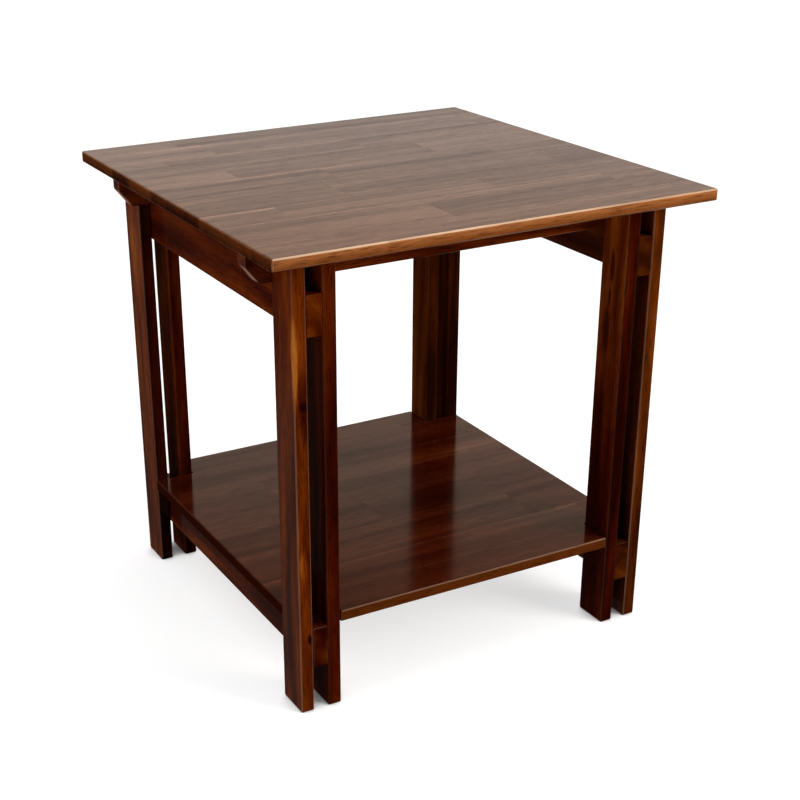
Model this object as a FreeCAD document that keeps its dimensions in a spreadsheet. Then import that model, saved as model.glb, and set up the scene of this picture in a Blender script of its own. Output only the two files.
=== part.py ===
import FreeCAD, Part
import Sketcher
import math
import os

# End table with a lower shelf: two butcher block panels on four split legs.
# Each leg is a pair of upright boards that clasp the stepped aprons and the lower rails.
# X runs along the staves of the top, Y from front to back and Z up, in millimetres.
# The origin is on the floor, under the middle of the top.

SIZES = (
    # Table top
    ("table_height", 600),
    ("top_length", 600),
    ("top_depth", 600),
    ("top_thickness", 15),
    ("top_edge_round", 2.5),
    # Legs
    ("leg_inset_x", 42),
    ("leg_inset_y", 42),
    ("leg_width", 50),
    ("board_thickness", 18),
    ("board_edge_round", 2.5),
    # Aprons and lower rails, which fill the gap between the boards of a leg
    ("web_thickness", 20),
    ("web_edge_round", 1.5),
    ("apron_depth", 95),
    ("apron_end_drop", 4),
    ("rail_depth", 55),
    # Bearers under the top
    ("bearer_height", 41),
    ("bearer_thickness", 20),
    ("bearer_inset", 10),
    ("bearer_edge_round", 1.5),
    ("clip_length", 18),
    ("clip_height", 23),
    ("clip_round", 6),
    # Shelf
    ("shelf_height", 131),
    ("shelf_thickness", 15),
    ("shelf_edge_round", 2),
    ("shelf_clearance", 0.5),
    # Dowels across the leg joints
    ("dowel_diameter", 8),
    ("dowel_bite", 12),
    ("dowel_chamfer", 1),
    # Screws
    ("screw_diameter", 4),
    ("screw_clearance", 0.4),
    ("screw_head_diameter", 8),
    ("screw_head_height", 3),
    ("screw_head_room", 2),
    ("screw_tip", 4),
    ("panel_screw_length", 33),
    ("panel_screw_bite", 10),
    ("bearer_screw_length", 40),
)

# Heights of the two dowels in a joint, along the end of the apron or rail
DOWEL_SHARES = (0.25, 0.75)
# Places of the panel screws, along half of the clear span between the legs
PANEL_SCREW_SHARES = (-0.75, 0, 0.75)
# Height of the bearer screws on the bearer
BEARER_SCREW_SHARE = 0.5

COUNTERSINK_ANGLE = 90
FULL_TURN = 360
HALF_TURN = 180
QUARTER_TURN = 90

Vector = FreeCAD.Vector
X_AXIS = Vector(1, 0, 0)
Y_AXIS = Vector(0, 1, 0)
Z_AXIS = Vector(0, 0, 1)

os.makedirs("parts", exist_ok=True)
doc = FreeCAD.newDocument("end_table_with_shelf")
sheet = doc.addObject("Spreadsheet::Sheet", "sizes")
for row, (alias, number) in enumerate(SIZES, start=1):
    sheet.set(f"A{row}", alias)
    sheet.set(f"B{row}", str(number))
    sheet.setAlias(f"B{row}", alias)
doc.recompute()

# Sizes and places that follow from the sheet
under_top = "(sizes.table_height - sizes.top_thickness)"
leg_face_x = "(sizes.top_length / 2 - sizes.leg_inset_x)"
leg_face_y = "(sizes.top_depth / 2 - sizes.leg_inset_y)"
gap_outer_x = f"({leg_face_x} - sizes.board_thickness)"
gap_inner_x = f"({gap_outer_x} - sizes.web_thickness)"
gap_middle_x = f"({gap_inner_x} + sizes.web_thickness / 2)"
leg_inner_x = f"({gap_inner_x} - sizes.board_thickness)"
leg_inner_y = f"({leg_face_y} - sizes.leg_width)"
leg_middle_y = f"({leg_face_y} - sizes.leg_width / 2)"
apron_bottom = f"({under_top} - sizes.apron_depth)"
apron_seat_height = "(sizes.apron_depth - sizes.bearer_height)"
apron_end_height = f"({apron_seat_height} - sizes.apron_end_drop)"
bearer_bottom = f"({under_top} - sizes.bearer_height)"
bearer_inner_y = f"({leg_inner_y} - sizes.bearer_thickness)"
bearer_middle_y = f"({leg_inner_y} - sizes.bearer_thickness / 2)"
bearer_end_x = "(sizes.top_length / 2 - sizes.bearer_inset)"
bearer_screw_z = f"({bearer_bottom} + {BEARER_SCREW_SHARE} * sizes.bearer_height)"
shelf_under = "(sizes.shelf_height - sizes.shelf_thickness)"
rail_bottom = f"({shelf_under} - sizes.rail_depth)"
panel_screw_grip = "(sizes.panel_screw_length - sizes.panel_screw_bite)"
screw_hole = "(sizes.screw_diameter + sizes.screw_clearance)"
counterbore = "(sizes.screw_head_diameter + sizes.screw_head_room)"
board_middles = (
    f"({leg_inner_x} + sizes.board_thickness / 2)",
    f"({leg_face_x} - sizes.board_thickness / 2)",
)


def minus(expression):
    """The same place on the other side of the middle."""
    return f"-({expression})"


def origin_plane(body, role):
    return next(item for item in body.Origin.OriginFeatures if item.Role == role)


def add_sketch(body, name, role, offset="0"):
    """An empty sketch on one of the body's own planes, shifted along its normal."""
    sketch = body.newObject("Sketcher::SketchObject", name)
    sketch.AttachmentSupport = [(origin_plane(body, role), "")]
    sketch.MapMode = "FlatFace"
    sketch.setExpression("AttachmentOffset.Base.z", offset)
    return sketch


def name_constraint(sketch, constraint, name, expression):
    index = sketch.addConstraint(constraint)
    sketch.renameConstraint(index, name)
    sketch.setExpression(f"Constraints.{name}", expression)


def pin_point(sketch, geometry, point, place, name):
    """Hold a point at a pair of expressions, or on an axis where the expression is zero."""
    for kind, axis, expression in zip(("DistanceX", "DistanceY"), (-2, -1), place):
        if expression == "0":
            sketch.addConstraint(Sketcher.Constraint("PointOnObject", geometry, point, axis))
        else:
            constraint = Sketcher.Constraint(kind, -1, 1, geometry, point, 1)
            name_constraint(sketch, constraint, f"{name}_{kind}", expression)


def draw_outline(body, name, role, corners):
    """A closed outline of straight lines through the corners."""
    sketch = add_sketch(body, name, role)
    turns = [2 * math.pi * index / len(corners) for index in range(len(corners))]
    ring = [Vector(math.cos(turn), math.sin(turn), 0) for turn in turns]
    for start, end in zip(ring, ring[1:] + ring[:1]):
        sketch.addGeometry(Part.LineSegment(start, end))
    for index in range(len(corners)):
        following = (index + 1) % len(corners)
        sketch.addConstraint(Sketcher.Constraint("Coincident", index, 2, following, 1))
    for index, corner in enumerate(corners):
        pin_point(sketch, index, 1, corner, f"corner_{index}")
    return sketch


def draw_circles(body, name, role, diameter, centres, offset="0"):
    sketch = add_sketch(body, name, role, offset)
    for index, centre in enumerate(centres):
        sketch.addGeometry(Part.Circle(Vector(), Z_AXIS, 1))
        constraint = Sketcher.Constraint("Diameter", index, 1)
        name_constraint(sketch, constraint, f"bore_{index}", diameter)
        pin_point(sketch, index, 3, centre, f"centre_{index}")
    return sketch


def pad(body, sketch, length, reverse=False):
    feature = body.newObject("PartDesign::Pad", f"{body.Name}_stock")
    feature.Profile = sketch
    feature.setExpression("Length", length)
    feature.Reversed = reverse
    doc.recompute()


def round_edges(body, name, radius, wanted):
    """Ease the edges of the body so far that the test picks out."""
    base = body.Tip
    edges = enumerate(base.Shape.Edges, start=1)
    fillet = body.newObject("PartDesign::Fillet", f"{body.Name}_{name}")
    fillet.Base = (base, [f"Edge{index}" for index, edge in edges if wanted(edge)])
    fillet.setExpression("Radius", radius)
    doc.recompute()


def every_edge(edge):
    return True


def runs_along(edge, axis):
    """Whether a straight edge is parallel to an axis."""
    if not isinstance(edge.Curve, Part.Line):
        return False
    return abs(edge.Curve.Direction.dot(axis)) > math.cos(math.radians(1))


def finish_cut(feature, before):
    """Finish a cut, and stop if it took nothing away."""
    doc.recompute()
    if not feature.Shape.Volume < before:
        raise RuntimeError(f"{feature.Name} cuts nothing")


def drill(body, sketch, depth=None, reverse=True):
    """Plain holes, blind to a depth or right through."""
    before = body.Tip.Shape.Volume
    pocket = body.newObject("PartDesign::Pocket", f"{sketch.Name}_drilled")
    pocket.Profile = sketch
    if depth:
        pocket.setExpression("Length", depth)
    else:
        pocket.Type = "ThroughAll"
    pocket.Reversed = reverse
    finish_cut(pocket, before)


def screw_holes(body, sketch, seat, width, depth=None):
    """Clearance holes right through, with a seat for the screw heads."""
    doc.recompute()
    before = body.Tip.Shape.Volume
    hole = body.newObject("PartDesign::Hole", f"{sketch.Name}_drilled")
    hole.Profile = sketch
    hole.ThreadType = "None"
    hole.DepthType = "ThroughAll"
    hole.HoleCutType = seat
    hole.HoleCutCustomValues = True
    hole.setExpression("Diameter", screw_hole)
    hole.setExpression("HoleCutDiameter", width)
    if depth:
        hole.setExpression("HoleCutDepth", depth)
    else:
        hole.HoleCutCountersinkAngle = COUNTERSINK_ANGLE
    hole.Reversed = True
    finish_cut(hole, before)


def add_body(label):
    body = doc.addObject("PartDesign::Body", label)
    body.Label = label
    return body


def place(item, x="0", y="0", z="0", axis=Z_AXIS, turn=0):
    item.Placement = FreeCAD.Placement(Vector(), FreeCAD.Rotation(axis, turn))
    item.setExpression("Placement.Base.x", x)
    item.setExpression("Placement.Base.y", y)
    item.setExpression("Placement.Base.z", z)
    return item


def rectangle(low_x, low_y, high_x, high_y):
    return [(low_x, low_y), (high_x, low_y), (high_x, high_y), (low_x, high_y)]


def dowel_heights(bottom, height):
    return [f"{bottom} + {share} * {height}" for share in DOWEL_SHARES]


def panel_screw_places(half_span):
    return [f"{share} * {half_span}" if share else "0" for share in PANEL_SCREW_SHARES]


def make_leg_board(label, inner_side):
    """One upright board, its gap face on the local YZ plane.

    inner_side says which of its narrow faces, at +Y or at -Y, meets the bearer."""
    body = add_body(label)
    half_width = "sizes.leg_width / 2"
    corners = rectangle("0", minus(half_width), "sizes.board_thickness", half_width)
    pad(body, draw_outline(body, f"{label}_section", "XY_Plane", corners), under_top)
    round_edges(body, "arris", "sizes.board_edge_round", every_edge)
    heights = dowel_heights(apron_bottom, apron_end_height)
    heights += dowel_heights(rail_bottom, "sizes.rail_depth")
    seats = [("0", height) for height in heights]
    sketch = draw_circles(body, f"{label}_dowels", "YZ_Plane", "sizes.dowel_diameter", seats)
    drill(body, sketch, "sizes.dowel_bite")
    pilot = [("sizes.board_thickness / 2", bearer_screw_z)]
    offset = f"{-inner_side} * {half_width}"
    sketch = draw_circles(body, f"{label}_pilot", "XZ_Plane", "sizes.screw_diameter", pilot, offset)
    drill(body, sketch, "sizes.bearer_screw_length - sizes.bearer_thickness", inner_side > 0)
    return body


def make_legs():
    """Two boards to each leg, with the gap between them open from floor to top."""
    boards = []
    for end, side_y in (("front", -1), ("back", 1)):
        for side, side_x in (("left", -1), ("right", 1)):
            for name, gap_face, outward in (("outer", gap_outer_x, 1), ("inner", gap_inner_x, -1)):
                turned = side_x * outward < 0
                inner_side = side_y if turned else -side_y
                board = make_leg_board(f"{end}_{side}_leg_{name}_board", inner_side)
                turn = HALF_TURN if turned else 0
                place(board, f"{side_x} * {gap_face}", f"{side_y} * {leg_middle_y}", turn=turn)
                boards.append(board)
    return boards


def drill_dowel_holes(body, heights):
    """Holes through both ends of an apron or rail, on the middle line of the leg boards."""
    ends = (leg_middle_y, minus(leg_middle_y))
    holes = [(end, height) for end in ends for height in heights]
    name = f"{body.Name}_dowels"
    drill(body, draw_circles(body, name, "YZ_Plane", "sizes.dowel_diameter", holes))


def make_apron(label, x):
    """A deep board on edge, cut down to seats for the bearers and lower ends in the legs."""
    body = add_body(label)
    corners = [
        (minus(leg_face_y), "0"),
        (leg_face_y, "0"),
        (leg_face_y, apron_end_height),
        (leg_inner_y, apron_end_height),
        (leg_inner_y, apron_seat_height),
        (bearer_inner_y, apron_seat_height),
        (bearer_inner_y, "sizes.apron_depth"),
        (minus(bearer_inner_y), "sizes.apron_depth"),
        (minus(bearer_inner_y), apron_seat_height),
        (minus(leg_inner_y), apron_seat_height),
        (minus(leg_inner_y), apron_end_height),
        (minus(leg_face_y), apron_end_height),
    ]
    pad(body, draw_outline(body, f"{label}_profile", "YZ_Plane", corners), "sizes.web_thickness")
    end_y = body.Tip.Shape.BoundBox.YMax

    def outer_arris(edge):
        at_end = math.isclose(abs(edge.CenterOfMass.y), end_y)
        return at_end or not runs_along(edge, X_AXIS)

    round_edges(body, "arris", "sizes.web_edge_round", outer_arris)
    drill_dowel_holes(body, dowel_heights("0", apron_end_height))
    return place(body, x, "0", apron_bottom)


def make_rail(label, x):
    """A straight board on edge under one side of the shelf."""
    body = add_body(label)
    corners = rectangle(minus(leg_face_y), "0", leg_face_y, "sizes.rail_depth")
    pad(body, draw_outline(body, f"{label}_profile", "YZ_Plane", corners), "sizes.web_thickness")
    round_edges(body, "arris", "sizes.web_edge_round", every_edge)
    drill_dowel_holes(body, dowel_heights("0", "sizes.rail_depth"))
    middle = "sizes.web_thickness / 2"
    centres = [(middle, y) for y in panel_screw_places(leg_inner_y)]
    sketch = draw_circles(body, f"{label}_screws", "XY_Plane", screw_hole, centres)
    depth = f"sizes.rail_depth - {panel_screw_grip}"
    screw_holes(body, sketch, "Counterbore", counterbore, depth)
    return place(body, x, "0", rail_bottom)


def make_bearer(label, y, turn):
    """A bar under the top, its ends clipped from below with soft corners.

    The face against the legs is on the local XZ plane."""
    body = add_body(label)
    clip_start = f"({bearer_end_x} - sizes.clip_length)"
    corners = [
        (minus(bearer_end_x), "sizes.clip_height"),
        (minus(clip_start), "0"),
        (clip_start, "0"),
        (bearer_end_x, "sizes.clip_height"),
        (bearer_end_x, "sizes.bearer_height"),
        (minus(bearer_end_x), "sizes.bearer_height"),
    ]
    profile = draw_outline(body, f"{label}_profile", "XZ_Plane", corners)
    pad(body, profile, "sizes.bearer_thickness", reverse=True)
    top_z = body.Tip.Shape.BoundBox.ZMax

    def clip_corner(edge):
        return runs_along(edge, Y_AXIS) and not math.isclose(edge.CenterOfMass.z, top_z)

    def face_arris(edge):
        return not runs_along(edge, Y_AXIS)

    round_edges(body, "clip", "sizes.clip_round", clip_corner)
    round_edges(body, "arris", "sizes.bearer_edge_round", face_arris)
    height = f"{BEARER_SCREW_SHARE} * sizes.bearer_height"
    centres = [(middle, height) for middle in board_middles]
    centres += [(minus(middle), height) for middle in board_middles]
    offset = minus("sizes.bearer_thickness")
    sketch = draw_circles(body, f"{label}_leg_screws", "XZ_Plane", screw_hole, centres, offset)
    screw_holes(body, sketch, "Countersink", "sizes.screw_head_diameter")
    centres = [(x, "sizes.bearer_thickness / 2") for x in panel_screw_places(leg_inner_x)]
    sketch = draw_circles(body, f"{label}_top_screws", "XY_Plane", screw_hole, centres)
    depth = f"sizes.bearer_height - {panel_screw_grip}"
    screw_holes(body, sketch, "Counterbore", counterbore, depth)
    return place(body, "0", y, bearer_bottom, turn=turn)


def drill_panel_pilots(body, centres):
    """Blind pilot holes in the underside of a panel."""
    name = f"{body.Name}_pilots"
    sketch = draw_circles(body, name, "XY_Plane", "sizes.screw_diameter", centres)
    drill(body, sketch, "sizes.panel_screw_bite")


def make_top():
    body = add_body("table_top")
    half_x = "sizes.top_length / 2"
    half_y = "sizes.top_depth / 2"
    corners = rectangle(minus(half_x), minus(half_y), half_x, half_y)
    pad(body, draw_outline(body, "table_top_outline", "XY_Plane", corners), "sizes.top_thickness")
    round_edges(body, "arris", "sizes.top_edge_round", every_edge)
    rows = (bearer_middle_y, minus(bearer_middle_y))
    drill_panel_pilots(body, [(x, y) for y in rows for x in panel_screw_places(leg_inner_x)])
    return place(body, z=under_top)


def make_shelf():
    """A panel as wide as the leg frame, with each corner notched round a leg."""
    body = add_body("shelf")
    notch_x = f"({leg_inner_x} - sizes.shelf_clearance)"
    notch_y = f"({leg_inner_y} - sizes.shelf_clearance)"
    quarter = [(notch_x, leg_face_y), (notch_x, notch_y), (leg_face_x, notch_y)]
    right = quarter + [(x, minus(y)) for x, y in reversed(quarter)]
    corners = right + [(minus(x), y) for x, y in reversed(right)]
    pad(body, draw_outline(body, "shelf_outline", "XY_Plane", corners), "sizes.shelf_thickness")

    def face_arris(edge):
        return not runs_along(edge, Z_AXIS)

    round_edges(body, "arris", "sizes.shelf_edge_round", face_arris)
    rows = (gap_middle_x, minus(gap_middle_x))
    drill_panel_pilots(body, [(x, y) for x in rows for y in panel_screw_places(leg_inner_y)])
    return place(body, z=shelf_under)


def turn_profile(label, corners):
    """A round piece about its local Z axis."""
    body = add_body(label)
    sketch = draw_outline(body, f"{label}_profile", "XZ_Plane", corners)
    feature = body.newObject("PartDesign::Revolution", f"{label}_turned")
    feature.Profile = sketch
    feature.ReferenceAxis = (sketch, ["V_Axis"])
    feature.Angle = FULL_TURN
    doc.recompute()
    return body


def make_dowel():
    """A straight dowel with chamfered ends."""
    radius = "sizes.dowel_diameter / 2"
    length = "(sizes.web_thickness + 2 * sizes.dowel_bite)"
    end_radius = f"{radius} - sizes.dowel_chamfer"
    corners = [
        ("0", "0"),
        (end_radius, "0"),
        (radius, "sizes.dowel_chamfer"),
        (radius, f"{length} - sizes.dowel_chamfer"),
        (end_radius, length),
        ("0", length),
    ]
    return turn_profile("dowel", corners)


def make_screw(label, length, head):
    """A wood screw, driven along its local Z axis, under the outline of its head."""
    shank = "sizes.screw_diameter / 2"
    tip = [(shank, f"{length} - sizes.screw_tip"), ("0", length)]
    return turn_profile(label, head + tip)


def make_panel_screw():
    """A screw whose flat head bears on the floor of a counterbore at local zero."""
    head_radius = "sizes.screw_head_diameter / 2"
    head = [
        ("0", minus("sizes.screw_head_height")),
        (head_radius, minus("sizes.screw_head_height")),
        (head_radius, "0"),
        ("sizes.screw_diameter / 2", "0"),
    ]
    return make_screw("panel_screw", "sizes.panel_screw_length", head)


def make_bearer_screw():
    """A screw whose countersunk head ends flush at local zero."""
    head = [
        ("0", "0"),
        ("sizes.screw_head_diameter / 2", "0"),
        ("sizes.screw_diameter / 2", "(sizes.screw_head_diameter - sizes.screw_diameter) / 2"),
    ]
    return make_screw("bearer_screw", "sizes.bearer_screw_length", head)


def group(label, master, places):
    """Copies of one fastener, each at its own place, as one named set."""
    copies = []
    for index, (x, y, z, axis, turn) in enumerate(places):
        copy = doc.addObject("App::Link", f"{label}_{index}")
        copy.LinkedObject = master
        copies.append(place(copy, x, y, z, axis, turn))
    bundle = doc.addObject("Part::Compound", label)
    bundle.Links = copies
    bundle.Label = label
    return bundle


def make_dowels(label, dowel, heights):
    starts = (f"{gap_inner_x} - sizes.dowel_bite", f"-{gap_outer_x} - sizes.dowel_bite")
    rows = (leg_middle_y, minus(leg_middle_y))
    places = [(x, y, z, Y_AXIS, QUARTER_TURN) for x in starts for y in rows for z in heights]
    return group(label, dowel, places)


def make_fasteners():
    dowel = make_dowel()
    panel_screw = make_panel_screw()
    bearer_screw = make_bearer_screw()
    sets = [
        make_dowels("apron_dowels", dowel, dowel_heights(apron_bottom, apron_end_height)),
        make_dowels("rail_dowels", dowel, dowel_heights(rail_bottom, "sizes.rail_depth")),
    ]
    columns = [f"{side} * {middle}" for side in (-1, 1) for middle in board_middles]
    faces = ((bearer_inner_y, -QUARTER_TURN), (minus(bearer_inner_y), QUARTER_TURN))
    places = [(x, y, bearer_screw_z, X_AXIS, turn) for y, turn in faces for x in columns]
    sets.append(group("bearer_screws", bearer_screw, places))
    rows = (bearer_middle_y, minus(bearer_middle_y))
    seat = f"{under_top} - {panel_screw_grip}"
    spread = panel_screw_places(leg_inner_x)
    places = [(x, y, seat, Z_AXIS, 0) for y in rows for x in spread]
    sets.append(group("top_screws", panel_screw, places))
    rows = (gap_middle_x, minus(gap_middle_x))
    seat = f"{shelf_under} - {panel_screw_grip}"
    spread = panel_screw_places(leg_inner_y)
    places = [(x, y, seat, Z_AXIS, 0) for x in rows for y in spread]
    sets.append(group("shelf_screws", panel_screw, places))
    return sets


nodes = [make_top(), make_shelf()]
nodes += make_legs()
nodes += [make_apron("left_apron", minus(gap_outer_x)), make_apron("right_apron", gap_inner_x)]
nodes += [make_rail("left_rail", minus(gap_outer_x)), make_rail("right_rail", gap_inner_x)]
nodes += [make_bearer("front_bearer", minus(leg_inner_y), 0)]
nodes += [make_bearer("back_bearer", leg_inner_y, HALF_TURN)]
nodes += make_fasteners()
doc.recompute()

for item in doc.Objects:
    if {"Invalid", "Error"} & set(item.State):
        raise RuntimeError(f"{item.Label} failed: {item.State}")
for node in nodes:
    if node.Shape.isNull() or not node.Shape.isValid():
        raise RuntimeError(f"{node.Label} has no valid shape")
for node in nodes:
    node.Shape.exportStep(f"parts/{node.Label}.step")
    box = node.Shape.BoundBox
    spans = [f"{low:.1f} to {high:.1f}" for low, high in
             ((box.XMin, box.XMax), (box.YMin, box.YMax), (box.ZMin, box.ZMax))]
    print(f"{node.Label}: {len(node.Shape.Solids)} solids, X {spans[0]}, Y {spans[1]}, Z {spans[2]}")
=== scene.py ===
# %% [markdown]
# # An end table with a shelf
# A square table of dark stained, lacquered hardwood. The top and the shelf are butcher block panels,
# glued up from short staves. Each leg is a pair of boards that clasp the aprons and the lower rails.
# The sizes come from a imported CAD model, which this lesson loads first and never moves. Blender adds
# what the photograph shows on top of that: the staves, the grain, the stain, the lacquer and the light.

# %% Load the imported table
import math
from functools import partial

import bpy
from mathutils import Matrix, Vector


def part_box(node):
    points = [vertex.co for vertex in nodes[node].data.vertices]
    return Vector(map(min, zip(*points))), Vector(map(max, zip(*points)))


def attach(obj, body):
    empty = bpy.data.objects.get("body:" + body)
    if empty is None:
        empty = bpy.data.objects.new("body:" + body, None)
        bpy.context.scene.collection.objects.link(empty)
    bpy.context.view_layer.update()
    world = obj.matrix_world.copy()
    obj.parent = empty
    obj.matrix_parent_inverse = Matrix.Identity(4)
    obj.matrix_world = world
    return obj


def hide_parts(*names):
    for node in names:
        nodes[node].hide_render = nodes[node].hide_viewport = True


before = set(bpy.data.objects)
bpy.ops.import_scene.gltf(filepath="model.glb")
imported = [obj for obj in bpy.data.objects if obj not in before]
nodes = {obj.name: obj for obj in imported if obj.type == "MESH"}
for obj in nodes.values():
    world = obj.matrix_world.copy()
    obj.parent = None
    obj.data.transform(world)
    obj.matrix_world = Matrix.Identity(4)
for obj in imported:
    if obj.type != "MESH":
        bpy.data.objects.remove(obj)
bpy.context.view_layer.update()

# %% [markdown]
# ## Camera
# A camera can be turned by eye until the picture looks right. Here it was fitted to the edges of the
# table in the photograph instead: the corners of the top, the feet and the long edges of the shelf.
# The fit gives a place on a sphere around a target, a slight roll, the focal length, and the point of
# the picture that the lens looks at. That point isn't the middle, because the picture was cropped, and
# the camera's shift takes that up.

# %% Camera
PICTURE_SIDE = 800
SENSOR_WIDTH = 36.0
FOCAL_PIXELS = 1481.69
CENTRE_PIXEL = (338.04, 483.27)
TARGET = Vector((-0.0794, -0.02161, 0.17967))
DISTANCE = 2.03475
AZIMUTH, ELEVATION, ROLL = (math.radians(angle) for angle in (-27.63, 25.04, -0.73))


def put_in_scene(name, data):
    made = bpy.data.objects.new(name, data)
    bpy.context.scene.collection.objects.link(made)
    return made


def aim_camera():
    back = Vector((
        math.sin(AZIMUTH) * math.cos(ELEVATION),
        -math.cos(AZIMUTH) * math.cos(ELEVATION),
        math.sin(ELEVATION),
    ))
    level_right = (-back).cross(Vector((0, 0, 1))).normalized()
    level_up = level_right.cross(-back)
    right = level_right * math.cos(ROLL) + level_up * math.sin(ROLL)
    up = level_up * math.cos(ROLL) - level_right * math.sin(ROLL)
    turn = Matrix((right, up, back)).transposed().to_4x4()
    data = bpy.data.cameras.new("camera")
    data.sensor_width = SENSOR_WIDTH
    data.lens = FOCAL_PIXELS * SENSOR_WIDTH / PICTURE_SIDE
    data.shift_x = 0.5 - CENTRE_PIXEL[0] / PICTURE_SIDE
    data.shift_y = CENTRE_PIXEL[1] / PICTURE_SIDE - 0.5
    camera = put_in_scene("camera", data)
    camera.matrix_world = Matrix.Translation(TARGET + back * DISTANCE) @ turn
    bpy.context.scene.camera = camera
    return camera


camera = aim_camera()
print("camera:", [round(v, 3) for v in camera.location], "lens", round(camera.data.lens, 2))

# %% [markdown]
# ## Building node trees
# Every finish below is a tree of nodes, and so are the rules that lay out the staves and turn the
# screws. Nodes can be placed by hand in Blender's editor, but written down they read like sums. One
# helper makes a node, sets its options and fills its inputs: a socket is linked, and a plain value is
# typed in. The others name the nodes that come up all the time.

# %% Helpers for node trees
UP = (0.0, 0.0, 1.0)


def fill(tree, socket, value):
    if isinstance(value, bpy.types.NodeSocket):
        tree.links.new(value, socket)
    else:
        socket.default_value = value


def add_node(tree, kind, inputs=None, **options):
    made = tree.nodes.new(kind)
    for option, value in options.items():
        setattr(made, option, value)
    for key, value in (inputs or {}).items():
        fill(tree, made.inputs[key], value)
    return made


def add_math(tree, operation, *values):
    made = add_node(tree, "ShaderNodeMath", dict(enumerate(values)), operation=operation)
    return made.outputs[0]


def add_vector_math(tree, operation, *values):
    made = add_node(tree, "ShaderNodeVectorMath", dict(enumerate(values)), operation=operation)
    return made.outputs["Value" if operation in ("LENGTH", "DOT_PRODUCT") else "Vector"]


def add_dot(tree, first, second):
    return add_vector_math(tree, "DOT_PRODUCT", first, second)


def add_split(tree, vector):
    return add_node(tree, "ShaderNodeSeparateXYZ", {"Vector": vector}).outputs


def add_range(tree, value, low, high, to_low=0.0, to_high=1.0):
    """From low to high, the value runs from to_low to to_high. Outside it stays at those."""
    made = add_node(tree, "ShaderNodeMapRange", {
        "Value": value, "From Min": low, "From Max": high, "To Min": to_low, "To Max": to_high})
    return made.outputs["Result"]


print("node helpers ready")

# %% Helpers for sums and colours
def add_sum(tree, parts):
    """Weighted sum of values, each given as (value, weight)."""
    total = 0.0
    for value, weight in parts:
        total = add_math(tree, "MULTIPLY_ADD", value, weight, total)
    return total


def add_product(tree, first, *others):
    for value in others:
        first = add_math(tree, "MULTIPLY", first, value)
    return first


def add_largest(tree, values):
    """The largest of some values, with their signs left out."""
    first, *others = [add_math(tree, "ABSOLUTE", value) for value in values]
    for value in others:
        first = add_math(tree, "MAXIMUM", first, value)
    return first


def add_ramp(tree, factor, stops):
    made = add_node(tree, "ShaderNodeValToRGB", {"Fac": factor})
    elements = made.color_ramp.elements
    while len(elements) < len(stops):
        elements.new(1.0)
    for element, (position, colour) in zip(elements, stops):
        element.position = position
        element.color = (*colour, 1.0)
    return made.outputs["Color"]


def add_mix(tree, blend, factor, first, second):
    """A Mix node has sockets for each kind of data. Its two colours are sockets 6 and 7."""
    made = add_node(tree, "ShaderNodeMix", {0: factor, 6: first, 7: second},
                    data_type="RGBA", blend_type=blend)
    return made.outputs[2]


print("sums and colours ready")

# %% [markdown]
# ## Stained wood under lacquer
# The wood is a tropical hardwood stained dark red brown. A picture of wood could be wrapped round each
# board, but it would repeat, and it would not meet at the edges. Layers of noise fill the board right
# through instead, all stretched along its grain: a slow drift of tone, wavy growth bands, streaks, dark
# pores and fine fibres. A ramp turns the tone into the colours of the stain. End grain takes up more
# stain, so it is darker. On rounds along the grain that don't look down, a pale colour is a painted
# highlight, which shows as the pale line along the front of the top. A clear coat stands for the
# lacquer. Its gloss gives the pale sheen of the panels.

# %% Layers of grain
GRAIN_AXES = {"X": (1, 0, 0), "Y": (0, 1, 0), "Z": (0, 0, 1)}
# Scales of the noise along and across the grain, in steps to the metre
WANDER_SCALE = (2.2, 9.0)
STREAK_SCALE = (4.0, 95.0)
PORE_SCALE = (45.0, 520.0)
FIBRE_SCALE = (30.0, 1500.0)
RINGS_TO_THE_METRE = 62.0
RING_WANDER = 9.0
PORE_SPAN = (0.30, 0.52)
TONE_SPAN = (0.26, 1.01)
# Scales and waves of the drift, then the shares of drift, bands and streaks
FRAME_FIGURE = ((2.6, 13.0), 0.9, (0.85, 0.15, 0.28))
PANEL_FIGURE = ((1.4, 30.0), 0.5, (0.85, 0.08, 0.32))


def stretch(grain, along, across):
    return tuple(along if part else across for part in GRAIN_AXES[grain])


def add_noise(tree, place, scale, detail, roughness=0.5, distortion=0.0):
    scaled = add_vector_math(tree, "MULTIPLY", place, scale)
    noise = add_node(tree, "ShaderNodeTexNoise", {
        "Vector": scaled, "Scale": 1.0, "Detail": detail, "Roughness": roughness,
        "Distortion": distortion})
    return noise.outputs["Fac"]


def add_grain(tree, place, grain, figure):
    """Tone from 0 to 1, and the streaks and pores, all along the grain."""
    drift_scale, waves, shares = figure
    drift = add_noise(tree, place, stretch(grain, *drift_scale), detail=2.0, distortion=waves)
    wander = add_noise(tree, place, stretch(grain, *WANDER_SCALE), detail=2.0)
    rings = add_dot(tree, place, stretch(grain, 0.0, RINGS_TO_THE_METRE))
    rings = add_math(tree, "MULTIPLY_ADD", wander, RING_WANDER, rings)
    bands = add_math(tree, "PINGPONG", rings, 1.0)
    streaks = add_noise(tree, place, stretch(grain, *STREAK_SCALE), detail=4.0, roughness=0.6,
                        distortion=0.3)
    pores = add_noise(tree, place, stretch(grain, *PORE_SCALE), detail=3.0, roughness=0.6)
    tone = add_sum(tree, zip((drift, bands, streaks), shares))
    return add_range(tree, tone, *TONE_SPAN), streaks, add_range(tree, pores, *PORE_SPAN)


print("grain layers ready")

# %% Tone with painted light, knots, and painted highlights on rounds
TO_THE_FRONT = (0.0, -1.0, 0.0)
FRONT_SPAN = (0.5, 0.8)
MIDDLE_HEIGHT = 0.3
KNOT_AND_PAINTED_LIGHT_SPAN = (0.55, 1.1)
KNOT_AND_PAINTED_LIGHT_RAGGEDNESS = 0.9
# Where the painted highlight goes: rounds, long sides, and the sides that don't look down
ROUND_SPAN = (0.995, 0.94)
LONG_SIDE_SPAN = (0.4, 0.2)
NOT_DOWN_SPAN = (-0.35, -0.15)


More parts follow.
